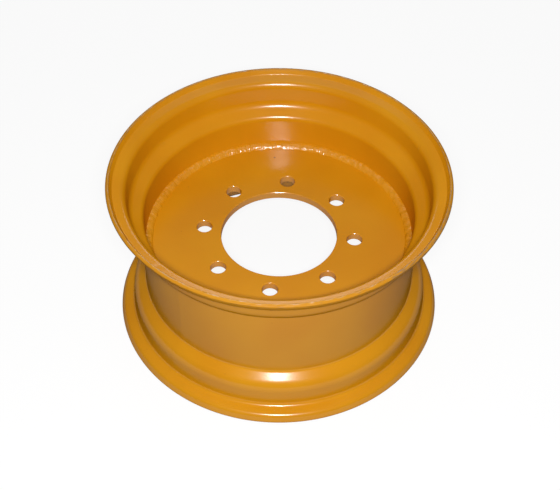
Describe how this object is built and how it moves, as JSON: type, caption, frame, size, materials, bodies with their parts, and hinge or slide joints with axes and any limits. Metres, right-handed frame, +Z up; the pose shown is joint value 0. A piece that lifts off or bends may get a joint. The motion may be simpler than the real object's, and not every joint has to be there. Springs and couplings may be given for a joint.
{
  "type": "disc wheel",
  "caption": "Bare painted steel disc wheel: a roll-formed drop-centre rim with a flat bolt-on disc welded inside it, for a loader, trailer or farm machine.",
  "frame": {"origin": "on the wheel's axis, midway between the two flanges", "axes": "+Z up along the wheel's axis, out of the side the picture shows; +Y away from the camera, through the valve hole; +X to the right"},
  "size_m": [0.4446, 0.4446, 0.2336],
  "materials": {
    "paint": "semi-gloss ochre paint",
    "weld_paint": "semi-gloss ochre paint over a rippled bead"
  },
  "bodies": {
    "root": {"rim": "paint", "disc": "paint", "front_weld": "weld_paint", "back_weld": "weld_paint"}
  },
  "joints": []
}
